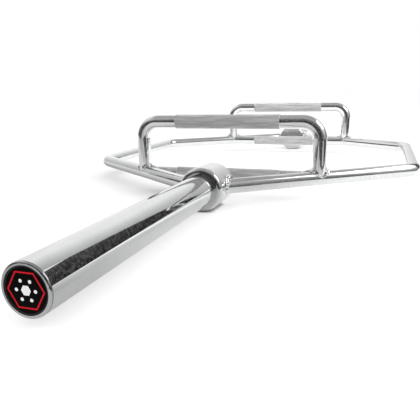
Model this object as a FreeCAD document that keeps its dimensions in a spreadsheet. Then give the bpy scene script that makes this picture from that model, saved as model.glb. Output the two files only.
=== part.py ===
import FreeCAD, Part
import os
import Sketcher

# A hex trap bar: a six-sided frame of bent steel bar with a plate sleeve at each end,
# two low handles in the plane of the frame and two raised handles above them.
# X runs along the sleeves, Y across the frame and Z up. The hubs stand on Z = 0. Sizes are in millimetres.

doc = FreeCAD.newDocument("hex_trap_bar")

# Driving dimensions

SIZES = {
    # plate sleeves and the plugs in their mouths
    "sleeve_diameter": 50,
    "sleeve_wall": 5,
    "sleeve_reach": 407,
    "sleeve_rim": 3.2,
    "sleeve_rounding": 2,
    "plug_depth": 10,
    "plug_skirt": 2.5,
    "plug_sink": 0.6,
    "disc_margin": 1.6,
    "disc_thickness": 0.6,
    # hubs that carry the sleeves
    "hub_diameter": 70,
    "hub_wall": 10.7,
    "hub_length": 68,
    "hub_floor": 12,
    "hub_face": 3.7,
    "hub_chamfer": 1.5,
    "hub_spacing": 760,
    # frame bars
    "frame_bar": 24.5,
    "frame_width": 646,
    "frame_side": 356,
    "frame_bend": 38,
    "vertex_inset": 21.8,
    # handles and their knurled grips
    "handle_bar": 24,
    "handle_spacing": 602,
    "handle_rise": 96,
    "handle_bend": 30,
    "grip_wall": 0.5,
    "grip_end_gap": 38,
    # joints between the pieces
    "fit_clearance": 0.1,
    "weld_gap": 0.2,
    "weld_spread": 3.5,
    "weld_climb": 4,
    "weld_hair": 0.05,
}

dims = doc.addObject("Spreadsheet::Sheet", "dims")
for row, (alias, value) in enumerate(SIZES.items(), start=1):
    dims.set(f"A{row}", alias)
    dims.set(f"B{row}", str(value))
    dims.setAlias(f"B{row}", alias)
doc.recompute()

# Expressions that several pieces share

AXIS_HEIGHT = "dims.hub_diameter / 2"
SLEEVE_BORE = "dims.sleeve_diameter - 2 * dims.sleeve_wall"
MOUTH_DIAMETER = "dims.sleeve_diameter - 2 * dims.sleeve_rim"
PLUG_DIAMETER = f"{MOUTH_DIAMETER} - 2 * dims.fit_clearance"
DISC_RECESS = f"{PLUG_DIAMETER} - 2 * dims.disc_margin"
SOCKET_DEPTH = "dims.hub_length - dims.hub_floor"
SOCKET_DIAMETER = "dims.hub_diameter - 2 * dims.hub_wall"
SPIGOT_DIAMETER = f"{SOCKET_DIAMETER} - 2 * dims.fit_clearance"
# the hub's face is a flat ring round its socket, and the wall is rounded off outside that ring
HUB_ROUNDING = "dims.hub_wall - dims.hub_face"
HUB_INNER = "dims.hub_spacing / 2"
HUB_FACE = f"{HUB_INNER} + dims.hub_length"
SLEEVE_END = f"{HUB_FACE} + dims.sleeve_reach"
CORNER = "dims.frame_side / 2"
HALF_WIDTH = "dims.frame_width / 2"
# the legs run from the frame's corners to where they land on the hub's wall, inset from its inner end,
# and their lines go on to the frame's vertex on the sleeve axis
LANDING = f"{HUB_INNER} + dims.vertex_inset"
VERTEX = f"({CORNER} + ({LANDING} - {CORNER}) * {HALF_WIDTH} / ({HALF_WIDTH} - {AXIS_HEIGHT}))"
HANDLE_PLACE = "dims.handle_spacing / 2"
# the handles stand where their line across the frame meets the slanting legs
POST = f"{HALF_WIDTH} * ({VERTEX} - {HANDLE_PLACE}) / ({VERTEX} - {CORNER})"
GRIP_BORE = "dims.handle_bar + 2 * dims.fit_clearance"
GRIP_DIAMETER = f"{GRIP_BORE} + 2 * dims.grip_wall"
GRIP_LENGTH = f"2 * ({POST} - dims.handle_bend - dims.grip_end_gap)"

LEFT = -1
RIGHT = 1
REAR = 1
FRONT = -1
SIDES = {"left": LEFT, "right": RIGHT}
UP = FreeCAD.Vector(0, 0, 1)


def value(expression):
    """The number that an expression of the sheet stands for."""
    return float(dims.evalExpression(expression))


def finish_body(body, label, turn=0.0, along=None):
    """Name a piece, turn it about Z and set it on the sleeve axis, at a distance along X."""
    body.Label = label
    body.Placement = FreeCAD.Placement(FreeCAD.Vector(0, 0, 0), FreeCAD.Rotation(UP, turn))
    body.setExpression("Placement.Base.z", AXIS_HEIGHT)
    if along is not None:
        body.setExpression("Placement.Base.x", along)
    return body


def facing(side):
    """The turn about Z that points a piece's own +X outward on its side of the bar."""
    return 0.0 if side == RIGHT else 180.0


def new_sketch(body, name, role):
    """An empty sketch on one of the body's own origin planes."""
    plane = next(item for item in body.Origin.OriginFeatures if item.Role == role)
    sketch = body.newObject("Sketcher::SketchObject", name)
    sketch.AttachmentSupport = [(plane, "")]
    sketch.MapMode = "FlatFace"
    return sketch


def bind(sketch, constraint, expression):
    """Add a sized constraint and tie it to the sheet."""
    sketch.setExpression(f"Constraints[{sketch.addConstraint(constraint)}]", expression)


def add_circle(sketch, diameter, across=None, upward=None):
    """A circle of a bound diameter, centred on the origin or a bound distance from it on one axis."""
    centre = FreeCAD.Vector(value(across) if across else 0, value(upward) if upward else 0, 0)
    circle = sketch.addGeometry(Part.Circle(centre, UP, value(diameter) / 2))
    bind(sketch, Sketcher.Constraint("Diameter", circle, value(diameter)), diameter)
    if across:
        sketch.addConstraint(Sketcher.Constraint("PointOnObject", circle, 3, -1))
        bind(sketch, Sketcher.Constraint("DistanceX", -1, 1, circle, 3, centre.x), across)
    elif upward:
        sketch.addConstraint(Sketcher.Constraint("PointOnObject", circle, 3, -2))
        bind(sketch, Sketcher.Constraint("DistanceY", -1, 1, circle, 3, centre.y), upward)
    else:
        sketch.addConstraint(Sketcher.Constraint("Coincident", circle, 3, -1, 1))


def add_bent_line(sketch, height, corner, foot, bend):
    """Half of a bent bar's centre line: level from the mid-plane, round one bend, then down to the axis."""
    top = FreeCAD.Vector(0, value(height), 0)
    tip = FreeCAD.Vector(value(corner), value(height), 0)
    end = FreeCAD.Vector(value(foot), 0, 0)
    radius = value(bend)
    level = tip.sub(top).normalize()
    leg = end.sub(tip).normalize()
    setback = radius * (leg.sub(level)).Length / (leg.add(level)).Length
    start = tip.sub(level * setback)
    stop = tip.add(leg * setback)
    middle = start.sub(FreeCAD.Vector(0, radius, 0))
    away = tip.sub(middle).normalize()
    straight = sketch.addGeometry(Part.LineSegment(top, start))
    curve = sketch.addGeometry(Part.Arc(start, middle.add(away * radius), stop))
    slant = sketch.addGeometry(Part.LineSegment(stop, end))
    apex = sketch.addGeometry(Part.Point(tip), True)
    # an arc is stored anticlockwise, so its first point lies on the slanting leg
    sketch.addConstraint(Sketcher.Constraint("PointOnObject", straight, 1, -2))
    sketch.addConstraint(Sketcher.Constraint("Horizontal", straight))
    sketch.addConstraint(Sketcher.Constraint("Tangent", straight, 2, curve, 2))
    sketch.addConstraint(Sketcher.Constraint("Tangent", curve, 1, slant, 1))
    sketch.addConstraint(Sketcher.Constraint("PointOnObject", slant, 2, -1))
    sketch.addConstraint(Sketcher.Constraint("PointOnObject", apex, 1, straight))
    sketch.addConstraint(Sketcher.Constraint("PointOnObject", apex, 1, slant))
    bind(sketch, Sketcher.Constraint("DistanceY", -1, 1, straight, 1, top.y), height)
    bind(sketch, Sketcher.Constraint("DistanceX", -1, 1, apex, 1, tip.x), corner)
    bind(sketch, Sketcher.Constraint("DistanceX", -1, 1, slant, 2, end.x), foot)
    bind(sketch, Sketcher.Constraint("Radius", curve, radius), bend)


def bent_bar(name, path_plane, section_plane, section_axis, height, corner, foot, bend, diameter):
    """A round bar with two like bends: half of it swept from the mid-plane, then mirrored."""
    body = doc.addObject("PartDesign::Body", name)
    path = new_sketch(body, f"{name}_path", path_plane)
    add_bent_line(path, height, corner, foot, bend)
    section = new_sketch(body, f"{name}_section", section_plane)
    add_circle(section, diameter, **{section_axis: height})
    doc.recompute()
    pipe = body.newObject("PartDesign::AdditivePipe", f"{name}_half")
    pipe.Profile = section
    pipe.Spine = (path, [f"Edge{number + 1}" for number in range(len(path.Shape.Edges))])
    doc.recompute()
    mirror = body.newObject("PartDesign::Mirrored", f"{name}_whole")
    mirror.Originals = [pipe]
    mirror.MirrorPlane = (section.AttachmentSupport[0][0], [""])
    body.Tip = mirror
    doc.recompute()
    return body


def add_pad(body, name, role, length, diameters, side_type="One side", inward=False):
    """A round disc or ring padded from an origin plane."""
    sketch = new_sketch(body, f"{name}_outline", role)
    for diameter in diameters:
        add_circle(sketch, diameter)
    pad = body.newObject("PartDesign::Pad", name)
    pad.Profile = sketch
    pad.setExpression("Length", length)
    pad.SideType = side_type
    pad.Reversed = inward
    doc.recompute()
    return pad


def face_at(feature, place):
    """The name of the flat face that looks along X at a distance along X."""
    for number, face in enumerate(feature.Shape.Faces, start=1):
        flat = isinstance(face.Surface, Part.Plane)
        if flat and abs(face.CenterOfMass.x - place) < 0.01 and abs(abs(face.normalAt(0, 0).x) - 1) < 0.01:
            return f"Face{number}"
    raise ValueError(f"no flat face at {place}")


def add_pocket(body, name, feature, place, diameter, depth):
    """A round pocket sunk into the flat face of a body at a place along its own X."""
    before = feature.Shape.Volume
    sketch = body.newObject("Sketcher::SketchObject", f"{name}_outline")
    sketch.AttachmentSupport = [(feature, face_at(feature, value(place)))]
    sketch.MapMode = "FlatFace"
    doc.recompute()
    # the sketch hangs on the face, so its centre is brought back to the body's own axis
    centre = sketch.Placement.inverse().multVec(FreeCAD.Vector(value(place), 0, 0))
    circle = sketch.addGeometry(Part.Circle(centre, UP, value(diameter) / 2))
    bind(sketch, Sketcher.Constraint("Diameter", circle, value(diameter)), diameter)
    sketch.addConstraint(Sketcher.Constraint("Coincident", circle, 3, -1, 1))
    pocket = body.newObject("PartDesign::Pocket", name)
    pocket.Profile = sketch
    pocket.setExpression("Length", depth)
    doc.recompute()
    if pocket.Shape.Volume >= before:
        raise ValueError(f"{name} cuts nothing")
    return pocket


def round_edges(feature, place, diameter):
    """The names of the round edges of a diameter that lie at a place along X."""
    names = []
    for number, edge in enumerate(feature.Shape.Edges, start=1):
        circle = edge.Curve
        if isinstance(circle, Part.Circle) and abs(circle.Center.x - place) < 0.01:
            if abs(2 * circle.Radius - diameter) < 0.01:
                names.append(f"Edge{number}")
    return names


def add_dress(body, kind, name, feature, place, diameter, size):
    """Round or chamfer one circular edge of a body."""
    dress = body.newObject(f"PartDesign::{kind}", name)
    dress.Base = (feature, round_edges(feature, value(place), value(diameter)))
    dress.setExpression("Radius" if kind == "Fillet" else "Size", size)
    doc.recompute()
    return dress


def leg_line(side, way):
    """Start and direction of the frame's slanting leg on one side of the bar, from its vertex outward."""
    vertex = FreeCAD.Vector(side * value(VERTEX), 0, value(AXIS_HEIGHT))
    corner = FreeCAD.Vector(side * value(CORNER), way * value(HALF_WIDTH), value(AXIS_HEIGHT))
    return vertex, corner.sub(vertex)


def rod(start, run, radius):
    """A solid round rod along a run."""
    return Part.makeCylinder(radius, run.Length, start, run)


def leg_rod(side, way, growth):
    """The slanting leg of the frame, grown all round by an allowance."""
    start, run = leg_line(side, way)
    return rod(start, run, value("dims.frame_bar / 2") + growth)


def post_rod(side, way, growth):
    """The upright of a raised handle, from the leg's centre line to its bend, grown by an allowance."""
    foot = FreeCAD.Vector(side * value(HANDLE_PLACE), way * value(POST), value(AXIS_HEIGHT))
    run = UP * value("dims.handle_rise - dims.handle_bend")
    return rod(foot, run, value("dims.handle_bar / 2") + growth)


def low_rod(side, way, growth):
    """Half of a low handle, from the mid-plane to the leg's centre line, grown by an allowance."""
    middle = FreeCAD.Vector(side * value(HANDLE_PLACE), 0, value(AXIS_HEIGHT))
    run = FreeCAD.Vector(0, way * value(POST), 0)
    return rod(middle, run, value("dims.handle_bar / 2") + growth)


def hub_rod(side, growth):
    """The outside of a hub, grown by an allowance."""
    start = FreeCAD.Vector(side * value(HUB_INNER), 0, value(AXIS_HEIGHT))
    run = FreeCAD.Vector(side * value("dims.hub_length"), 0, 0)
    return rod(start, run, value("dims.hub_diameter / 2") + growth)


def new_shape(label, shape):
    """A piece with a worked-out shape."""
    piece = doc.addObject("Part::Feature", label)
    piece.Label = label
    piece.Shape = shape
    piece.Placement = FreeCAD.Placement()
    return piece


pieces = []

# Frame bars: one bent round bar on each side of the frame, its ends coped to the hubs

for label, turn in (("rear_frame_bar", 0.0), ("front_frame_bar", 180.0)):
    bar = bent_bar(label, "XY_Plane", "YZ_Plane", "across",
                   HALF_WIDTH, CORNER, VERTEX, "dims.frame_bend", "dims.frame_bar")
    whole = bar.Tip
    cope_outline = new_sketch(bar, f"{label}_cope_outline", "YZ_Plane")
    add_circle(cope_outline, "dims.hub_diameter + 2 * dims.weld_gap")
    cope = bar.newObject("PartDesign::Pocket", f"{label}_cope")
    cope.Profile = cope_outline
    cope.Type = "ThroughAll"
    cope.SideType = "Symmetric"
    doc.recompute()
    if cope.Shape.Volume >= whole.Shape.Volume:
        raise ValueError("the frame bar's ends are not coped")
    pieces.append(finish_body(bar, label, turn))

# Hubs: turned steel cups, closed on the inside of the frame, that hold the sleeves

for name, side in SIDES.items():
    label = f"{name}_hub"
    hub = doc.addObject("PartDesign::Body", label)
    blank = add_pad(hub, f"{label}_blank", "YZ_Plane", "dims.hub_length", ["dims.hub_diameter"])
    socket = add_pocket(hub, f"{label}_socket", blank, "dims.hub_length", SOCKET_DIAMETER, SOCKET_DEPTH)
    crown = add_dress(hub, "Fillet", f"{label}_crown", socket, "dims.hub_length",
                      "dims.hub_diameter", HUB_ROUNDING)
    add_dress(hub, "Chamfer", f"{label}_edge", crown, "0", "dims.hub_diameter", "dims.hub_chamfer")
    pieces.append(finish_body(hub, label, facing(side), f"{side} * ({HUB_INNER})"))

# Sleeves: steel tubes closed at the hub by a turned end with a solid spigot, and with a wider mouth

for name, side in SIDES.items():
    label = f"{name}_sleeve"
    sleeve = doc.addObject("PartDesign::Body", label)
    add_pad(sleeve, f"{label}_spigot", "YZ_Plane", f"{SOCKET_DEPTH} - dims.fit_clearance",
            [SPIGOT_DIAMETER], inward=True)
    barrel = add_pad(sleeve, f"{label}_barrel", "YZ_Plane", "dims.sleeve_reach", ["dims.sleeve_diameter"])
    bore = add_pocket(sleeve, f"{label}_bore", barrel, "dims.sleeve_reach", SLEEVE_BORE,
                      "dims.sleeve_reach - dims.sleeve_wall")
    mouth = add_pocket(sleeve, f"{label}_mouth", bore, "dims.sleeve_reach", MOUTH_DIAMETER,
                       "dims.plug_depth + dims.plug_sink")
    add_dress(sleeve, "Fillet", f"{label}_rim", mouth, "dims.sleeve_reach",
              "dims.sleeve_diameter", "dims.sleeve_rounding")
    pieces.append(finish_body(sleeve, label, facing(side), f"{side} * ({HUB_FACE})"))

# End plugs: moulded cups pushed into the sleeve mouths, each with a shallow recess for its disc

for name, side in SIDES.items():
    label = f"{name}_end_plug"
    plug = doc.addObject("PartDesign::Body", label)
    blank = add_pad(plug, f"{label}_blank", "YZ_Plane", "dims.plug_depth", [PLUG_DIAMETER])
    cup = add_pocket(plug, f"{label}_cup", blank, "0", f"{PLUG_DIAMETER} - 2 * dims.plug_skirt",
                     "dims.plug_depth - dims.plug_skirt")
    add_pocket(plug, f"{label}_recess", cup, "dims.plug_depth", DISC_RECESS, "dims.disc_thickness")
    plug_seat = f"{SLEEVE_END} - dims.plug_sink - dims.plug_depth"
    pieces.append(finish_body(plug, label, facing(side), f"{side} * ({plug_seat})"))

# Plug discs: thin printed discs glued into the recesses of the plugs

for name, side in SIDES.items():
    label = f"{name}_plug_disc"
    disc = doc.addObject("PartDesign::Body", label)
    add_pad(disc, f"{label}_blank", "YZ_Plane", "dims.disc_thickness",
            [f"{DISC_RECESS} - dims.fit_clearance"])
    disc_seat = f"{SLEEVE_END} - dims.plug_sink - dims.disc_thickness"
    pieces.append(finish_body(disc, label, facing(side), f"{side} * ({disc_seat})"))

# Raised handles: bars bent into a wide arch, their feet coped over the frame's slanting legs

for name, side in SIDES.items():
    label = f"{name}_raised_handle"
    arch = bent_bar(f"{label}_arch", "YZ_Plane", "XZ_Plane", "upward",
                    "dims.handle_rise", POST, POST, "dims.handle_bend", "dims.handle_bar")
    finish_body(arch, f"{label}_arch", 0.0, f"{side} * {HANDLE_PLACE}")
    doc.recompute()
    legs = [leg_rod(side, way, value("dims.weld_gap")) for way in (REAR, FRONT)]
    pieces.append(new_shape(label, arch.Shape.cut(legs)))

# Low handles: straight bars between the legs, coped round the legs and the feet of the arches

for name, side in SIDES.items():
    label = f"{name}_low_handle"
    gap = value("dims.weld_gap")
    bar = low_rod(side, REAR, 0).fuse(low_rod(side, FRONT, 0)).removeSplitter()
    for way in (REAR, FRONT):
        bar = bar.cut([leg_rod(side, way, gap), post_rod(side, way, gap)])
    longest = max(bar.Solids, key=lambda solid: solid.Volume)
    pieces.append(new_shape(label, longest))

# Grips: knurled tubes slid over the middle of each handle bar

for name, side in SIDES.items():
    for kind, lift in (("raised", "dims.handle_rise"), ("low", "0")):
        label = f"{name}_{kind}_grip"
        grip = doc.addObject("PartDesign::Body", label)
        add_pad(grip, f"{label}_tube", "XZ_Plane", GRIP_LENGTH, [GRIP_DIAMETER, GRIP_BORE], "Symmetric")
        finish_body(grip, label, 0.0, f"{side} * {HANDLE_PLACE}")
        grip.setExpression("Placement.Base.z", f"{AXIS_HEIGHT} + {lift}")
        pieces.append(grip)

# Welds: fillets round the end of every bar, which spread over what the bar stands on and climb the bar

spread = value("dims.weld_spread")
climb = value("dims.weld_climb")
hair = value("dims.weld_hair")

for name, side in SIDES.items():
    hub_welds = []
    raised_welds = []
    low_welds = []
    for way in (REAR, FRONT):
        corner = leg_rod(side, way, spread).common(hub_rod(side, climb))
        hub_welds.append(corner.cut(leg_rod(side, way, 0)).cut(hub_rod(side, 0)))
        # bars of one thickness that cross are told apart by a hair's room inside the welds
        held_leg = leg_rod(side, way, 0)
        held_post = post_rod(side, way, hair)
        held_low = low_rod(side, way, 2 * hair)
        corner = post_rod(side, way, spread).common(leg_rod(side, way, climb))
        raised_welds.append(corner.cut(held_leg).cut(held_post).cut(held_low))
        corner = low_rod(side, way, spread).common(leg_rod(side, way, climb))
        low_welds.append(corner.cut(held_leg).cut(held_low).cut(post_rod(side, way, spread + hair)))
    pieces.append(new_shape(f"{name}_hub_welds", Part.makeCompound(hub_welds)))
    pieces.append(new_shape(f"{name}_raised_welds", Part.makeCompound(raised_welds)))
    pieces.append(new_shape(f"{name}_low_welds", Part.makeCompound(low_welds)))

# Check every object and write one file for each piece

doc.recompute()
for item in doc.Objects:
    if "Invalid" in item.State or "Error" in item.State:
        raise ValueError(f"{item.Label} is in state {item.State}")

os.makedirs("parts", exist_ok=True)
for piece in pieces:
    if piece.Shape.isNull() or not piece.Shape.isValid():
        raise ValueError(f"{piece.Label} has no valid shape")
    piece.Shape.exportStep(f"parts/{piece.Label}.step")
    print(piece.Label, len(piece.Shape.Solids), round(piece.Shape.Volume))
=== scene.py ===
import math

import bmesh
import bpy
from mathutils import Matrix, Vector


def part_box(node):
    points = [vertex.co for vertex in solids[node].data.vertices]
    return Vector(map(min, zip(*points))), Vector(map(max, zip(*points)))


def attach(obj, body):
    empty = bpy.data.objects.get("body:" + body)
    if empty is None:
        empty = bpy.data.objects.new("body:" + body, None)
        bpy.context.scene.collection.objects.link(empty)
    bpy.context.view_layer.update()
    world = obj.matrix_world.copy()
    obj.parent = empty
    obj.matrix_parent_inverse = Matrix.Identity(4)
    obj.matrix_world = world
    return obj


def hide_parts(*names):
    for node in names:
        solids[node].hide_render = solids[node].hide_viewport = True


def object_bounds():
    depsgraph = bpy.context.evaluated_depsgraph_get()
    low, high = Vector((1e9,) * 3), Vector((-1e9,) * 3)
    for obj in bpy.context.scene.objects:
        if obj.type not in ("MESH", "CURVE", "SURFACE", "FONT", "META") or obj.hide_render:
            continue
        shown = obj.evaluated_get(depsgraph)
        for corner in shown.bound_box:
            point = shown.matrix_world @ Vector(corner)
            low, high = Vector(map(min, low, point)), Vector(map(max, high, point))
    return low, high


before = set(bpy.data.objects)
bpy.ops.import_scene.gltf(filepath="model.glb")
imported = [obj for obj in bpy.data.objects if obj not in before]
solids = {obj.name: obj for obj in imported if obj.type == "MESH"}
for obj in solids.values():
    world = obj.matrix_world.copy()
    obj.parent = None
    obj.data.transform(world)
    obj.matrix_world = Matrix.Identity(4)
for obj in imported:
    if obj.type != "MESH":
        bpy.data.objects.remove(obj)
cad_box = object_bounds()

# Frame bars
# Two round steel bars, each bent twice, make the six sides of the frame. They are polished and
# chrome plated after welding, so one bright skin with faint ripples and handling marks covers them.


def put(tree, kind, sockets=None, **settings):
    """Add a shader node with its settings, its sockets set to values or linked to other nodes."""
    node = tree.nodes.new("ShaderNode" + kind)
    for name, setting in settings.items():
        setattr(node, name, setting)
    for name, source in (sockets or {}).items():
        if isinstance(source, bpy.types.NodeSocket):
            tree.links.new(source, node.inputs[name])
        else:
            node.inputs[name].default_value = source
    return node


def calc(tree, operation, *values):
    """The result of one sum on numbers or sockets."""
    return put(tree, "Math", dict(enumerate(values)), operation=operation).outputs[0]


def ramp(tree, source, *stops):
    """A grey ramp through (place, level) stops."""
    node = put(tree, "ValToRGB", {"Fac": source})
    greys = node.color_ramp.elements
    while len(greys) < len(stops):
        greys.new(0.5)
    for grey, (place, level) in zip(greys, stops):
        grey.position = place
        grey.color = (level, level, level, 1)
    return node.outputs["Color"]


def mix(tree, mask, first, second, blend="MIX"):
    """The first colour where a mask is 0 and the second where it is 1."""
    # the colour sockets share their names with those for numbers, so they are told apart by their place
    node = put(tree, "Mix", {"Factor": mask, 6: first, 7: second}, data_type="RGBA", blend_type=blend)
    return node.outputs[2]


def new_group(name, inputs, outputs):
    """An empty node group with named sockets, and its two ends."""
    group = bpy.data.node_groups.new(name, "ShaderNodeTree")
    for label, kind in inputs.items():
        group.interface.new_socket(label, in_out="INPUT", socket_type="NodeSocket" + kind)
    for label in outputs:
        group.interface.new_socket(label, in_out="OUTPUT", socket_type="NodeSocketFloat")
    return group, group.nodes.new("NodeGroupInput").outputs, group.nodes.new("NodeGroupOutput").inputs


def new_material(name):
    """A new material, its node tree, its surface shader and the place on the object."""
    material = bpy.data.materials.new(name)
    material.use_nodes = True
    tree = material.node_tree
    place = tree.nodes.new("ShaderNodeTexCoord").outputs["Object"]
    return material, tree, tree.nodes["Principled BSDF"], place


def dress(names, material):
    """Give CAD pieces their finish."""
    for name in names:
        solids[name].data.materials.clear()
        solids[name].data.materials.append(material)


# slow ripples of the plating and tiny pits under it, as a height
PIT_SCALE = 900.0
plating, given, result = new_group(
    "plating_relief", {"Place": "Vector", "Ripples": "Float", "Pits": "Float"}, ["Height"])
slow = put(plating, "TexNoise", {"Vector": given["Place"], "Scale": given["Ripples"], "Detail": 1.5})
fine = put(plating, "TexNoise", {"Vector": given["Place"], "Scale": PIT_SCALE, "Detail": 2.0})
pits = calc(plating, "MULTIPLY", fine.outputs["Fac"], given["Pits"])
plating.links.new(calc(plating, "ADD", slow.outputs["Fac"], pits), result["Height"])

# cloudy smears from hands, short fine scratches and a thin film of dust, as masks
DUST_SCALE = 260.0
marks, given, result = new_group(
    "handling_marks", {"Place": "Vector", "Smears": "Float", "Scratches": "Float"},
    ["Smear", "Scratch", "Dust"])
cloud = put(marks, "TexNoise", {
    "Vector": given["Place"], "Scale": given["Smears"], "Detail": 5.0, "Distortion": 0.6})
marks.links.new(ramp(marks, cloud.outputs["Fac"], (0.45, 0.0), (0.75, 1.0)), result["Smear"])
hair = put(marks, "TexNoise", {
    "Vector": given["Place"], "Scale": given["Scratches"], "Detail": 3.0, "Roughness": 0.7})
marks.links.new(ramp(marks, hair.outputs["Fac"], (0.60, 0.0), (0.72, 1.0)), result["Scratch"])
film = put(marks, "TexNoise", {
    "Vector": given["Place"], "Scale": DUST_SCALE, "Detail": 4.0, "Roughness": 0.65})
marks.links.new(ramp(marks, film.outputs["Fac"], (0.42, 0.0), (0.70, 1.0)), result["Dust"])


def add_relief(tree, shader, place, ripples, pits, strength, depth):
    """Raise a surface by the relief of its plating."""
    skin = put(tree, "Group", {"Place": place, "Ripples": ripples, "Pits": pits}, node_tree=plating)
    bump = put(tree, "Bump", {"Height": skin.outputs["Height"], "Strength": strength, "Distance": depth})
    tree.links.new(bump.outputs["Normal"], shader.inputs["Normal"])


def add_marks(tree, place, smears, scratches):
    """The masks of handling marks, by the scale of the smears and of the scratches."""
    sockets = {"Place": place, "Smears": smears, "Scratches": scratches}
    return put(tree, "Group", sockets, node_tree=marks).outputs


def steel(level):
    """The faintly cool grey of plated steel."""
    return (level, level + 0.005, level + 0.01, 1)


SMEARED_LOSS = 0.045
SCRATCH_HAZE = 0.04
LINE_SCALE = 40.0
LINE_HAZE = 0.03


def chrome(name, shine, ripples, ripple_depth, polish, dull, lathe=(40, 40, 40), dust=0.16):
    """Plated steel: its grey, its ripples and their depth, its roughness where clean and where smeared,
    the stretch of its tool lines and its share of dust."""
    material, tree, shader, place = new_material(name)
    worn = add_marks(tree, place, smears=22.0, scratches=420.0)
    tone = mix(tree, worn["Smear"], steel(shine), steel(shine - SMEARED_LOSS))
    tree.links.new(tone, shader.inputs["Base Color"])
    tree.links.new(calc(tree, "MULTIPLY_ADD", worn["Dust"], -dust, 1.0), shader.inputs["Metallic"])
    along = put(tree, "Mapping", {"Vector": place, "Scale": lathe}).outputs["Vector"]
    lines = put(tree, "TexNoise", {"Vector": along, "Scale": LINE_SCALE, "Detail": 3.0})
    haze = calc(tree, "MULTIPLY_ADD", worn["Smear"], dull - polish, polish)
    haze = calc(tree, "MULTIPLY_ADD", worn["Scratch"], SCRATCH_HAZE, haze)
    haze = calc(tree, "MULTIPLY_ADD", lines.outputs["Fac"], LINE_HAZE, haze)
    tree.links.new(haze, shader.inputs["Roughness"])
    add_relief(tree, shader, place, ripples, pits=0.02, strength=1.0, depth=ripple_depth)
    return material


frame_chrome = chrome("frame_chrome", shine=0.80, ripples=28.0, ripple_depth=0.0003, polish=0.04, dull=0.09)
dress(["front_frame_bar", "rear_frame_bar"], frame_chrome)

# Hubs
# Turned steel cups in the two end corners of the frame. The bars are welded to their walls and the
# sleeves sit in their sockets. Lathe lines run round them under the plating. Their end faces and crowns
# are painted a darker grey, as painted shade.


def stretch(tree, value, start, stop, low=0.0, high=1.0):
    """A number taken from one range to another, and held at its ends."""
    ends = {"From Min": start, "From Max": stop, "To Min": low, "To Max": high}
    return put(tree, "MapRange", {"Value": value, **ends}).outputs["Result"]


def along_bar(tree):
    """How far a point is from the middle of the whole bar, along it."""
    place = tree.nodes.new("ShaderNodeTexCoord").outputs["Object"]
    return calc(tree, "ABSOLUTE", put(tree, "SeparateXYZ", {"Vector": place}).outputs["X"])


def paint_face_shade(material, depth, stops, tone):
    """Paint shade over a plated finish as a darker tone, by a depth and its (place, share) stops. Gives the
    mask.
    """
    tree = material.node_tree
    colour = tree.nodes["Principled BSDF"].inputs["Base Color"]
    mask = ramp(tree, depth, *stops)
    tree.links.new(mix(tree, mask, colour.links[0].from_socket, tone), colour)
    return mask


low_corner, high_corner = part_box("left_hub")
HUB_MIDDLE = (low_corner.x + high_corner.x) / -2
HUB_HALF = (high_corner.x - low_corner.x) / 2
CROWN = 0.006
hub_chrome = chrome("hub_chrome", shine=0.765, ripples=40.0, ripple_depth=0.0002, polish=0.06, dull=0.12,
                    lathe=(60, 1, 1))
tree = hub_chrome.node_tree
off_middle = calc(tree, "ABSOLUTE", calc(tree, "SUBTRACT", along_bar(tree), HUB_MIDDLE))
to_end = stretch(tree, off_middle, HUB_HALF - CROWN, HUB_HALF)
# the end face and crown are painted a darker grey, as painted shade
paint_face_shade(hub_chrome, to_end, ((0.70, 0.0), (0.96, 1.0)), steel(0.50))
dress(["left_hub", "right_hub"], hub_chrome)

# Sleeves
# Thick steel tubes for the plates, polished on a lathe and plated. Their mouths have a rounded rim, whose
# end face is rougher, and whose rounding and face are painted darker in bands, as painted shade.

BAR_END = cad_box[1].x
RIM = 0.0026
RIM_HAZE = 0.10
sleeve_chrome = chrome("sleeve_chrome", shine=0.765, ripples=30.0, ripple_depth=0.00008, polish=0.03,
                       dull=0.07, lathe=(40, 1, 1), dust=0.11)
tree = sleeve_chrome.node_tree
across_rim = stretch(tree, along_bar(tree), BAR_END - RIM, BAR_END)
# a painted dark line round the rim's rounding and a little painted darkening toward its end, as painted
# shade; the same mask makes the rim rougher
rim_shade_stops = ((0.0, 0.0), (0.2, 1.0), (0.35, 1.0), (0.6, 0.15), (1.0, 0.25))
rim_shade_and_haze = paint_face_shade(sleeve_chrome, across_rim, rim_shade_stops, steel(0.24))
roughness = tree.nodes["Principled BSDF"].inputs["Roughness"]
tree.links.new(calc(tree, "MULTIPLY_ADD", rim_shade_and_haze, RIM_HAZE, roughness.links[0].from_socket), roughness)
dress(["left_sleeve", "right_sleeve"], sleeve_chrome)

# End plugs
# Moulded black plastic cups pushed into the mouths of the sleeves. The mould was spark eroded, so a fine
# grain covers them.

GRAIN_SCALE = 1400.0
plug_plastic, tree, shader, place = new_material("plug_plastic")
grain = put(tree, "TexNoise", {"Vector": place, "Scale": GRAIN_SCALE, "Detail": 3.0}).outputs["Fac"]
tree.links.new(ramp(tree, grain, (0.3, 0.010), (0.7, 0.022)), shader.inputs["Base Color"])
tree.links.new(ramp(tree, grain, (0.3, 0.38), (0.7, 0.55)), shader.inputs["Roughness"])
bump = put(tree, "Bump", {"Height": grain, "Strength": 0.6, "Distance": 0.00008})
tree.links.new(bump.outputs["Normal"], shader.inputs["Normal"])
shader.inputs["Specular IOR Level"].default_value = 0.25
dress(["left_end_plug", "right_end_plug"], plug_plastic)

# Plug discs
# Thin printed discs glued into the plugs: a plain pattern of a red hexagon line round white dots,
# screen printed on black.

AXIS_HEIGHT = 0.035
LINE_INNER = 0.0146
LINE_OUTER = 0.0160
DOT_CIRCLE = 0.0092
DOT_RADIUS = 0.0016
MIDDLE_HEXAGON = 0.0042
RED_INK = (0.62, 0.012, 0.02, 1)
WHITE_INK = (0.92, 0.92, 0.92, 1)
INK_SCALE = 2200.0
disc_print, tree, shader, place = new_material("disc_print")


def slant_length(tree, first, second):
    """The length of a slanting line, from its runs along two axes."""
    squares = (calc(tree, "MULTIPLY", first, first), calc(tree, "MULTIPLY", second, second))
    return calc(tree, "SQRT", calc(tree, "ADD", *squares))


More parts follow.
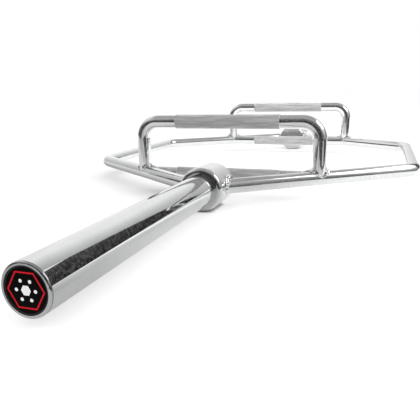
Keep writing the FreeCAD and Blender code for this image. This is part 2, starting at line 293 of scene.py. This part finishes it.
# the distance to the sides of a hexagon, 0.866 and 0.5 being the cosine and sine of 30 degrees
on_disc = put(tree, "Mapping", {"Vector": place, "Location": (0, 0, -AXIS_HEIGHT)}).outputs["Vector"]
part = put(tree, "SeparateXYZ", {"Vector": on_disc}).outputs
across = calc(tree, "ABSOLUTE", part["Y"])
upward = calc(tree, "ABSOLUTE", part["Z"])
slant = calc(tree, "ADD", calc(tree, "MULTIPLY", across, 0.866), calc(tree, "MULTIPLY", upward, 0.5))
hexagon = calc(tree, "MAXIMUM", slant, upward)
past_inner = calc(tree, "GREATER_THAN", hexagon, LINE_INNER)
red_line = calc(tree, "MULTIPLY", past_inner, calc(tree, "LESS_THAN", hexagon, LINE_OUTER))

# the distance to the nearest of six dots in a circle
turn = calc(tree, "ARCTAN2", part["Z"], part["Y"])
from_dot = calc(tree, "PINGPONG", calc(tree, "ADD", turn, math.pi), math.pi / 6)
radius = slant_length(tree, part["Y"], part["Z"])
dot_side = calc(tree, "MULTIPLY", radius, calc(tree, "SINE", from_dot))
dot_out = calc(tree, "SUBTRACT", calc(tree, "MULTIPLY", radius, calc(tree, "COSINE", from_dot)), DOT_CIRCLE)
dots = calc(tree, "LESS_THAN", slant_length(tree, dot_side, dot_out), DOT_RADIUS)
white_print = calc(tree, "MAXIMUM", dots, calc(tree, "LESS_THAN", hexagon, MIDDLE_HEXAGON))

speckle = put(tree, "TexNoise", {"Vector": place, "Scale": INK_SCALE, "Detail": 2.0}).outputs["Fac"]
black_ink = ramp(tree, speckle, (0.3, 0.0006), (0.7, 0.0020))
inks = mix(tree, white_print, mix(tree, red_line, black_ink, RED_INK), WHITE_INK)
tree.links.new(inks, shader.inputs["Base Color"])
tree.links.new(ramp(tree, speckle, (0.3, 0.30), (0.7, 0.42)), shader.inputs["Roughness"])
shader.inputs["Specular IOR Level"].default_value = 0.05
dress(["left_plug_disc", "right_plug_disc"], disc_print)

# Raised and low handles
# Bars a little thinner than the frame's: the raised pair bent into arches that stand on the legs, the low
# pair straight between the legs. Plated with the frame.

handle_chrome = chrome("handle_chrome", shine=0.82, ripples=30.0, ripple_depth=0.00025, polish=0.04,
                       dull=0.09)
for height in ("raised", "low"):
    dress([f"left_{height}_handle", f"right_{height}_handle"], handle_chrome)

# Grips
# Steel tubes with a rolled diamond knurl, slid over the middle of each handle bar. The grooves are rougher
# than the crests and painted darker, as painted shade. Each end has a plain turned land and a chamfer.


def clear_selection():
    """Leave nothing selected, so that an operator acts on the new piece alone."""
    bpy.ops.object.select_all(action="DESELECT")


def choose_edges(piece, wanted):
    """In edit mode, select the edges that pass a test, and nothing else."""
    bpy.ops.mesh.select_mode(type="EDGE")
    bpy.ops.mesh.select_all(action="DESELECT")
    form = bmesh.from_edit_mesh(piece.data)
    for edge in form.edges:
        if wanted(edge):
            edge.select_set(True)
    bmesh.update_edit_mesh(piece.data)


def run_of(edge):
    """The way from one end of an edge to the other."""
    return edge.verts[1].co - edge.verts[0].co


def is_rim(edge):
    """Whether an edge has a face on one side only."""
    return len(edge.link_faces) == 1


TINY = 1e-6


def is_lattice(edge):
    """Whether an edge inside the tube's wall runs straight round it or straight along it."""
    run = run_of(edge)
    return len(edge.link_faces) == 2 and (abs(run.y) < TINY or Vector((run.x, run.z)).length < TINY)


low_corner, high_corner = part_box("left_raised_grip")
GRIP_LENGTH = high_corner.y - low_corner.y
CREST = (high_corner.z - low_corner.z) / 2
GROOVE_DEPTH = 0.00042
GROOVE_HALF = 0.00048
CREST_PLAY = 0.00003
ROOT = CREST - GROOVE_DEPTH - CREST_PLAY
END_LAND = 0.0012
LAND_DROP = 0.00004
LAND_SIZE = (CREST - LAND_DROP) / ROOT
CHAMFER_SHARE = 0.4
CHAMFER_SIZE = 0.966
DIAMONDS_AROUND = 40
DIAMONDS_ALONG = 100
SHARP = math.radians(25)
low_corner, high_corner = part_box("left_low_handle")
HANDLE_RADIUS = (high_corner.z - low_corner.z) / 2
BORE_PLAY = 0.0001
GRIP_BORE = HANDLE_RADIUS + BORE_PLAY

# a tube of small oblongs, whose corners and middles become the corners of the diamonds
clear_selection()
bpy.ops.mesh.primitive_cylinder_add(vertices=DIAMONDS_AROUND, radius=ROOT, depth=GRIP_LENGTH - 2 * END_LAND,
                                    end_fill_type="NOTHING", rotation=(math.pi / 2, 0, 0))
knurl = bpy.context.object
bpy.ops.object.transform_apply(location=True, rotation=True, scale=True)
bpy.ops.object.mode_set(mode="EDIT")
choose_edges(knurl, lambda edge: abs(run_of(edge).y) > GRIP_LENGTH / 2)
bpy.ops.mesh.subdivide(number_cuts=DIAMONDS_ALONG - 1)
bpy.ops.mesh.select_all(action="SELECT")
bpy.ops.mesh.poke()
choose_edges(knurl, is_lattice)
bpy.ops.mesh.dissolve_edges(use_verts=False, use_face_split=False)
bpy.ops.mesh.select_mode(type="FACE")
bpy.ops.mesh.select_all(action="SELECT")
bpy.ops.mesh.normals_make_consistent(inside=False)
bpy.ops.mesh.inset(use_individual=True, thickness=GROOVE_HALF, depth=GROOVE_DEPTH)

# the land and the chamfer at each end, then the bore
for way in (1, -1):
    land_run = way * END_LAND * (1 - CHAMFER_SHARE)
    chamfer_run = way * END_LAND * CHAMFER_SHARE
    choose_edges(knurl, lambda edge: is_rim(edge) and edge.verts[0].co.y * way > 0)
    bpy.ops.mesh.extrude_region_move()
    bpy.ops.transform.resize(value=(LAND_SIZE, 1, LAND_SIZE))
    bpy.ops.mesh.extrude_region_move(TRANSFORM_OT_translate={"value": (0, land_run, 0)})
    bpy.ops.mesh.extrude_region_move(TRANSFORM_OT_translate={"value": (0, chamfer_run, 0)})
    bpy.ops.transform.resize(value=(CHAMFER_SIZE, 1, CHAMFER_SIZE))
    bpy.ops.mesh.extrude_region_move()
    bore_size = GRIP_BORE / (CREST * CHAMFER_SIZE)
    bpy.ops.transform.resize(value=(bore_size, bore_size, bore_size), constraint_axis=(True, False, True))
choose_edges(knurl, is_rim)
bpy.ops.mesh.bridge_edge_loops()
bpy.ops.mesh.select_all(action="SELECT")
bpy.ops.mesh.remove_doubles(threshold=TINY)
bpy.ops.mesh.normals_make_consistent(inside=False)
bpy.ops.object.mode_set(mode="OBJECT")
bpy.ops.object.shade_smooth_by_angle(angle=SHARP)

STREAK = (1.0, 0.06, 1.0)
WEAR = 1.3


def knurl_finish_and_shade(name, distance, height):
    """Plated knurl on bars at a distance and a height: grooves painted darker than the crests as painted
    shade, and rougher, with cloudy wear.
    """
    material, tree, shader, place = new_material(name)
    shader.inputs["Metallic"].default_value = 0.5
    part = put(tree, "SeparateXYZ", {"Vector": place}).outputs
    aside = calc(tree, "SUBTRACT", calc(tree, "ABSOLUTE", part["X"]), distance)
    above = calc(tree, "SUBTRACT", part["Z"], height)
    crest = stretch(tree, slant_length(tree, aside, above), ROOT, CREST)
    streaks = put(tree, "Mapping", {"Vector": place, "Scale": STREAK}).outputs["Vector"]
    worn = add_marks(tree, streaks, smears=330.0, scratches=500.0)
    # the grooves are painted darker than the crests, as painted shade, and cloudy wear darkens both
    level = calc(tree, "SUBTRACT", crest, calc(tree, "MULTIPLY", worn["Smear"], WEAR))
    tree.links.new(ramp(tree, level, (0.0, 0.52), (1.0, 1.0)), shader.inputs["Base Color"])
    tree.links.new(ramp(tree, level, (0.0, 0.50), (1.0, 0.30)), shader.inputs["Roughness"])
    add_relief(tree, shader, place, ripples=1100.0, pits=0.4, strength=0.7, depth=0.0001)
    return material


for height in ("raised", "low"):
    low_corner, high_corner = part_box(f"left_{height}_grip")
    middle = (low_corner + high_corner) / 2
    finish = knurl_finish_and_shade(f"{height}_grip_knurl", abs(middle.x), middle.z)
    for side in ("left", "right"):
        node = f"{side}_{height}_grip"
        low_corner, high_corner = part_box(node)
        grip = bpy.data.objects.new(f"{node}_knurl", knurl.data.copy())
        grip.data.transform(Matrix.Translation((low_corner + high_corner) / 2))
        grip.data.materials.append(finish)
        bpy.context.scene.collection.objects.link(grip)
        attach(grip, "root")
        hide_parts(node)
bpy.data.objects.remove(knurl)

# Welds
# Beads of weld metal round the end of every bar, laid down in short overlapping puddles by hand and
# plated with the rest, so they shine but stay lumpy.

weld_chrome, tree, shader, place = new_material("weld_chrome")
shader.inputs["Metallic"].default_value = 1.0
worn = add_marks(tree, place, smears=160.0, scratches=700.0)
tone = mix(tree, worn["Scratch"], (0.90, 0.90, 0.90, 1), (0.34, 0.34, 0.35, 1))
tree.links.new(tone, shader.inputs["Base Color"])
tree.links.new(ramp(tree, worn["Smear"], (0.0, 0.10), (1.0, 0.26)), shader.inputs["Roughness"])
add_relief(tree, shader, place, ripples=420.0, pits=0.25, strength=0.6, depth=0.0003)

UPWARD = Vector((0, 0, 1))
INWARD = Vector((0, -1, 0))
ALONG = Vector((1, 0, 0))
# the middle line of the rear leg at the left end, from the sleeve's axis to the corner of the frame
VERTEX = Vector((-0.429, 0, AXIS_HEIGHT))
CORNER = Vector((-0.178, 0.323, AXIS_HEIGHT))
LEG = (CORNER - VERTEX).normalized()
# where the left handles stand along the bar, mirrored from the right ones
low_corner, high_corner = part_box("right_low_grip")
HANDLE_X = (low_corner.x + high_corner.x) / -2
FOOT = VERTEX + (CORNER - VERTEX) * (HANDLE_X - VERTEX.x) / (CORNER.x - VERTEX.x)
# the hubs rest on the floor
HUB_RADIUS = AXIS_HEIGHT
FRAME_RADIUS = 0.01225


def seam(start, away, radius, through, run, girth, steps):
    """Points round the crease where a bar leaves another, each given by a point, a direction and a radius."""
    first = away.orthogonal().normalized()
    second = away.cross(first)
    points = []
    for step in range(steps):
        angle = 2 * math.pi * step / steps
        offset = start - through + radius * (math.cos(angle) * first + math.sin(angle) * second)
        flat_away = away - away.dot(run) * run
        flat_offset = offset - offset.dot(run) * run
        # the line along the bar leaves the other bar's wall at the far root of a quadratic equation
        square = flat_away.length_squared
        cross = flat_away.dot(flat_offset)
        rest = flat_offset.length_squared - girth ** 2
        reach = (-cross + math.sqrt(max(cross * cross - square * rest, 0.0))) / square
        points.append(through + offset + reach * away)
    return points


PUDDLE = {"segments": 12, "ring_count": 8}
FIRST_DROP = 0.001
FOOT_SHARE = 0.40
MELT_GRAIN = 0.0005
FLOW_FACTOR = 0.5
FLOW_PASSES = 12


def fullness(number):
    """How full each puddle in a row is, uneven as by hand."""
    return 1.0 + 0.10 * math.sin(2.3 * number) + 0.18 * math.sin(0.9 * number + 1.0)


def bead(length, rows):
    """Puddles of a relative length, fuller on top and melted together, on rings of points. Each ring has its
    puddles' size and the height that it starts from."""
    clear_selection()
    bpy.ops.mesh.primitive_uv_sphere_add(radius=FIRST_DROP, location=rows[0][0][0], **PUDDLE)
    piece = bpy.context.object
    bpy.ops.object.transform_apply(location=True, rotation=True, scale=True)
    bpy.ops.object.mode_set(mode="EDIT")
    for points, size, lowest in rows:
        foot = min(point.z for point in points)
        rise = max(point.z for point in points) - foot
        for number, point in enumerate(points):
            if point.z < lowest:
                continue
            along = points[(number + 1) % len(points)] - points[number - 1]
            turn = along.to_track_quat("Z", "Y").to_euler()
            swell = size * fullness(number) * (FOOT_SHARE + (point.z - foot) / rise)
            # long enough to meet its neighbours
            reach = max(length, along.length / 2 / swell)
            bpy.ops.mesh.primitive_uv_sphere_add(radius=swell, location=point, rotation=turn,
                                                 scale=(1.0, 1.0, reach), **PUDDLE)
    bpy.ops.object.mode_set(mode="OBJECT")
    melt = piece.modifiers.new("melt", "REMESH")
    melt.mode = "VOXEL"
    melt.voxel_size = MELT_GRAIN
    flow = piece.modifiers.new("flow", "SMOOTH")
    flow.factor = FLOW_FACTOR
    flow.iterations = FLOW_PASSES
    bpy.ops.object.modifier_apply(modifier="melt")
    bpy.ops.object.modifier_apply(modifier="flow")
    bpy.ops.object.shade_smooth()
    return piece


LIFT = 0.0006
HUB_SPREAD = 0.0042
POST_SPREAD = 0.0040
COLLAR_RISE = 0.0030
FLOOR_LEVEL = 0
HUB_LIP = AXIS_HEIGHT + 0.001
POST_LIP = AXIS_HEIGHT + 0.008
LONG_PUDDLES = 1.0
SHORT_PUDDLES = 0.6
hub_crease = seam(VERTEX, LEG, FRAME_RADIUS + LIFT, VERTEX, ALONG, HUB_RADIUS + LIFT, 40)
hub_skirt = seam(VERTEX, LEG, FRAME_RADIUS + HUB_SPREAD, VERTEX, ALONG, HUB_RADIUS, 44)
post_crease = seam(FOOT, UPWARD, HANDLE_RADIUS + LIFT, FOOT, LEG, FRAME_RADIUS + LIFT, 36)
post_collar = [point + COLLAR_RISE * UPWARD for point in post_crease]
post_skirt = seam(FOOT, UPWARD, HANDLE_RADIUS + POST_SPREAD, FOOT, LEG, FRAME_RADIUS, 44)
low_crease = seam(FOOT, INWARD, HANDLE_RADIUS + LIFT, FOOT, LEG, FRAME_RADIUS + LIFT, 42)
bead_forms = {
    "hub": bead(LONG_PUDDLES, [(hub_crease, 0.0034, FLOOR_LEVEL), (hub_skirt, 0.0020, HUB_LIP)]),
    "raised": bead(SHORT_PUDDLES, [
        (post_crease, 0.0028, FLOOR_LEVEL),
        (post_collar, 0.0020, POST_LIP + COLLAR_RISE),
        (post_skirt, 0.0022, POST_LIP),
    ]),
    "low": bead(SHORT_PUDDLES, [(low_crease, 0.0030, FLOOR_LEVEL)]),
}
for kind, form in bead_forms.items():
    for side, mirror_x in (("left", 1), ("right", -1)):
        clear_selection()
        for mirror_y in (1, -1):
            copy = bpy.data.objects.new(f"{side}_{kind}_weld_beads", form.data.copy())
            bpy.context.scene.collection.objects.link(copy)
            copy.data.transform(Matrix.Diagonal((mirror_x, mirror_y, 1, 1)))
            copy.select_set(True)
            bpy.context.view_layer.objects.active = copy
        bpy.ops.object.join()
        beads = bpy.context.object
        beads.name = f"{side}_{kind}_weld_beads"
        bpy.ops.object.mode_set(mode="EDIT")
        bpy.ops.mesh.select_all(action="SELECT")
        bpy.ops.mesh.normals_make_consistent(inside=False)
        bpy.ops.object.mode_set(mode="OBJECT")
        beads.data.materials.append(weld_chrome)
        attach(beads, "root")
        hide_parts(f"{side}_{kind}_welds")
    bpy.data.objects.remove(form)

# Studio
# A pale sweep of paper, three soft lamps and the dim room round them. Of these the camera sees only the
# paper, and the chrome also the room, the lamp to the right, and painted shade on the paper.

scene = bpy.context.scene
scene.view_settings.view_transform = "Standard"
WHITE = (1, 1, 1, 1)
ROOM_LIGHT = 0.82


def shown(tree, in_mirrors):
    """1 for rays from the camera or through glass, a share for rays off a mirror, 0 for mere light."""
    path = tree.nodes.new("ShaderNodeLightPath").outputs
    seen = calc(tree, "MAXIMUM", path["Is Camera Ray"], path["Is Transmission Ray"])
    return calc(tree, "MAXIMUM", seen, calc(tree, "MULTIPLY", path["Is Glossy Ray"], in_mirrors))


studio = bpy.data.worlds.new("studio")
scene.world = studio
studio.use_nodes = True
tree = studio.node_tree
tree.nodes.clear()
room = put(tree, "Background", {"Color": WHITE, "Strength": ROOM_LIGHT})
backdrop = put(tree, "Background", {"Color": WHITE, "Strength": 1.0})
mixed = put(tree, "MixShader", {"Fac": shown(tree, 1.0), 1: room.outputs[0], 2: backdrop.outputs[0]})
put(tree, "OutputWorld", {"Surface": mixed.outputs[0]})


def stage_paint(name):
    """A material with no nodes yet, and its tree."""
    material = bpy.data.materials.new(name)
    material.use_nodes = True
    material.node_tree.nodes.clear()
    return material, material.node_tree


FLOOR_SIZE = 80
PAPER = 0.58
PAPER_IN_MIRRORS = 0.40
MIRROR_GAIN = 1.4
BAR_GAIN = 0.3
SHADE_REACH = 0.006
LEG_REACH = 0.07
SHADE_POWER = 1.5
UNDER_FAR_LAMP = (0.3, 0, 0)
clear_selection()
bpy.ops.mesh.primitive_plane_add(size=FLOOR_SIZE, location=(0, 0, 0))
floor = bpy.context.object
floor.name = "floor"
floor_paper, tree = stage_paint("floor_paper")
# the paper is painted darker in mirrors than to the camera, as painted shade
in_mirror = tree.nodes.new("ShaderNodeLightPath").outputs["Is Glossy Ray"]
paper_tone = calc(tree, "MULTIPLY_ADD", in_mirror, PAPER_IN_MIRRORS - PAPER, PAPER)
paper = put(tree, "BsdfDiffuse", {"Color": paper_tone})
spot_place = put(tree, "TexCoord").outputs["Object"]
spot = put(tree, "SeparateXYZ", {"Vector": spot_place}).outputs

# painted shade on the paper, seen in mirrors alone: it dims toward the near end of the bar, and a painted
# light lifts it close to the bar
inward = stretch(tree, spot["X"], -0.85, -0.25)
mirror_shade_stops = ((0.15, 0.09), (0.28, 0.23), (0.42, 0.34), (0.65, 0.36), (0.76, 0.46), (0.95, 1.0))
painted_light_by_bar = stretch(tree, calc(tree, "ABSOLUTE", spot["Y"]), 0.10, 0.0)
mirrored = calc(tree, "MULTIPLY_ADD", painted_light_by_bar, BAR_GAIN, ramp(tree, inward, *mirror_shade_stops))
mirrored = calc(tree, "MULTIPLY", mirrored, MIRROR_GAIN)

# the contact shade reaches further out beside the near left leg than elsewhere
OUT_FROM_LEG = Vector((-LEG.y, LEG.x, 0))
LEG_LINE = VERTEX.dot(OUT_FROM_LEG)
outward = put(tree, "VectorMath", {0: spot_place, 1: OUT_FROM_LEG}, operation="DOT_PRODUCT").outputs["Value"]
beyond = stretch(tree, outward, LEG_LINE - 0.075, LEG_LINE - 0.045)
leftward = stretch(tree, spot["Y"], 0.03, 0.12)
by_leg = calc(tree, "MULTIPLY", beyond, leftward)
contact = calc(tree, "MULTIPLY_ADD", by_leg, LEG_REACH, SHADE_REACH)
open_sky = put(tree, "AmbientOcclusion", {"Distance": contact}, samples=8).outputs["AO"]

# the lamps alone leave the paper grey, so a glow for the camera and mirrors brings it to white, less of it
# under the far lamp
from_lamp = put(tree, "VectorMath", {0: spot_place, 1: UNDER_FAR_LAMP}, operation="DISTANCE").outputs["Value"]
unlit = stretch(tree, from_lamp, 0.15, 0.6, low=0.44, high=0.52)
bare = calc(tree, "MULTIPLY", calc(tree, "POWER", open_sky, SHADE_POWER), unlit)
glow_level = calc(tree, "MULTIPLY", shown(tree, mirrored), bare)
glow = put(tree, "Emission", {"Color": WHITE, "Strength": glow_level})
both = put(tree, "AddShader", {0: paper.outputs[0], 1: glow.outputs[0]})
put(tree, "OutputMaterial", {"Surface": both.outputs[0]})
floor.data.materials.append(floor_paper)


def toward(azimuth, rise, distance):
    """A point that far from the middle of the bar, at angles from +X toward +Y and above the floor."""
    flat = distance * math.cos(math.radians(rise))
    return Vector((flat * math.cos(math.radians(azimuth)), flat * math.sin(math.radians(azimuth)),
                   distance * math.sin(math.radians(rise))))


def lamp(name, place, width, height, energy, mirrored, aim=Vector(), spread=180):
    """A soft lamp that shines at the middle of the bar, or at another point, in a beam of some degrees."""
    light = bpy.data.lights.new(name, "AREA")
    light.shape = "RECTANGLE"
    light.size = width
    light.size_y = height
    light.energy = energy
    light.spread = math.radians(spread)
    stand = bpy.data.objects.new(name, light)
    stand.location = place
    stand.rotation_euler = (aim - place).to_track_quat("-Z", "Y").to_euler()
    stand.visible_camera = False
    stand.visible_glossy = mirrored
    scene.collection.objects.link(stand)


LAMP_DISTANCE = 2.6
FAR_GRIPS = Vector((0.34, 0, 0.08))
lamp("key_lamp", toward(-78, 40, LAMP_DISTANCE), width=2.0, height=1.25, energy=16.0, mirrored=True)
lamp("fill_lamp", toward(195, 35, LAMP_DISTANCE), width=2.0, height=1.5, energy=12.0, mirrored=False)
lamp("far_lamp", Vector((-0.05, 0, 0.85)), width=0.5, height=0.5, energy=1.15, mirrored=False,
     aim=FAR_GRIPS, spread=75)

WALL_DISTANCE = 3.6
WALL_FOOT = -1
CEILING_HEIGHT = 5.0
EVEN = ((0.0, 1.0), (1.0, 1.0))


def add_screen(screen, name, rising, across=EVEN):
    """Paint a screen from its foot to its top and from side to side, and leave it to mirrors alone."""
    screen.name = name
    paint, tree = stage_paint(name)
    spot = put(tree, "SeparateXYZ", {"Vector": put(tree, "TexCoord").outputs["Object"]}).outputs
    upright = ramp(tree, calc(tree, "ADD", spot["Y"], 0.5), *rising)
    sideways = ramp(tree, calc(tree, "ADD", spot["X"], 0.5), *across)
    shade = mix(tree, 1.0, upright, sideways, "MULTIPLY")
    glow = put(tree, "Emission", {"Color": shade, "Strength": 1.0})
    put(tree, "OutputMaterial", {"Surface": glow.outputs[0]})
    screen.data.materials.append(paint)
    screen.visible_camera = False
    screen.visible_diffuse = False
    screen.visible_shadow = False
    screen.visible_transmission = False


def wall(name, start, stop, top, rising, across=EVEN):
    """An upright screen between two azimuths and up to a rise, in degrees from the middle of the bar."""
    middle = math.radians((start + stop) / 2)
    width = 2 * WALL_DISTANCE * math.tan(math.radians(abs(stop - start) / 2))
    low = WALL_DISTANCE * math.tan(math.radians(WALL_FOOT))
    high = WALL_DISTANCE * math.tan(math.radians(top))
    place = (WALL_DISTANCE * math.cos(middle), WALL_DISTANCE * math.sin(middle), (low + high) / 2)
    clear_selection()
    bpy.ops.mesh.primitive_plane_add(size=1, rotation=(math.pi / 2, 0, middle + math.pi / 2), location=place)
    screen = bpy.context.object
    screen.scale = (width, high - low, 1)
    add_screen(screen, name, rising, across)


def card(name, place, turn, width, height, rising):
    """A level screen with its middle at a place, turned about the vertical by some degrees."""
    clear_selection()
    bpy.ops.mesh.primitive_plane_add(size=1, rotation=(0, 0, math.radians(turn)), location=place)
    screen = bpy.context.object
    screen.scale = (width, height, 1)
    add_screen(screen, name, rising)


SWEEP = ((0.0, 1.0), (0.55, 1.0), (0.8, 0.72), (0.95, 0.42), (1.0, 0.40))
wall("sweep_right", -27, 8, 56, SWEEP, ((0.0, 0.50), (0.55, 0.78), (1.0, 1.0)))
wall("sweep_back", 8, 46, 56, SWEEP)
wall("sweep_left", 46, 84, 56, ((0.0, 1.0), (0.45, 0.95), (0.65, 1.25), (1.0, 1.1)),
     ((0.0, 1.0), (0.5, 0.78), (1.0, 0.50)))
wall("dark_screen", -56, -27, 41, ((0.0, 0.012), (1.0, 0.055)))
wall("right_screen", -108, -56, 30, ((0.05, 0.25), (0.35, 0.41), (0.65, 0.70), (1.0, 0.95)))
wall("lamp_gap", -130, -108, 56, ((0.0, 0.12), (0.2, 0.22), (0.5, 0.45), (1.0, 0.55)))
wall("rear_screen", -208, -130, 60, ((0.0, 0.015), (0.12, 0.03), (0.35, 0.12), (1.0, 0.27)))
wall("left_screen", 84, 152, 60, ((0.0, 0.2), (0.20, 0.25), (0.30, 1.0), (0.40, 1.9), (1.0, 1.9)),
     ((0.0, 0.58), (0.4, 0.34), (1.0, 0.18)))
card("ceiling", (0, 0, CEILING_HEIGHT), 0, 2 * WALL_DISTANCE, 2 * WALL_DISTANCE, ((0.0, 0.36), (1.0, 0.40)))
card("room_floor", (-1.626, -2.082, 0.0005), -30.5, 8, 4, ((0.0, 0.03), (1.0, 0.045)))
card("room_near", (-3.224, 1.114, 0.0006), 59.5, 4, 4, ((0.0, 0.10), (1.0, 0.04)))
# a painted shadow of the near left leg on the paper, seen in mirrors alone, darkest along the leg and paler
# outward
card("painted_leg_shadow", (-0.313, 0.638, 0.0004), 52.15, 1.06, 0.6,
     ((0.0, 0.34), (0.05, 0.48), (0.085, 0.64), (0.15, 0.70), (0.25, 0.78), (1.0, 0.72)))
card("bright_strip", (-0.70, -0.885, 0.0007), 61, 0.85, 0.20, ((0.0, 0.6), (1.0, 0.6)))

# Camera
# It stands just past the near end of the bar, a little above it, and looks along the bar. Its place and
# its three directions were fitted to the edges of the bars in the picture.

STAND = Vector((-1.15487, -0.26288, 0.18968))
RIGHT = Vector((0.32437, -0.94569, -0.02152))
UP = Vector((0.23343, 0.05798, 0.97064))
BACK = Vector((-0.91668, -0.31987, 0.23956))
FIELD_OF_VIEW = 46.062
lens = bpy.data.cameras.new("camera")
lens.angle = math.radians(FIELD_OF_VIEW)
camera = bpy.data.objects.new("camera", lens)
camera.matrix_world = Matrix.Translation(STAND) @ Matrix((RIGHT, UP, BACK)).transposed().to_4x4()
scene.collection.objects.link(camera)
scene.camera = camera
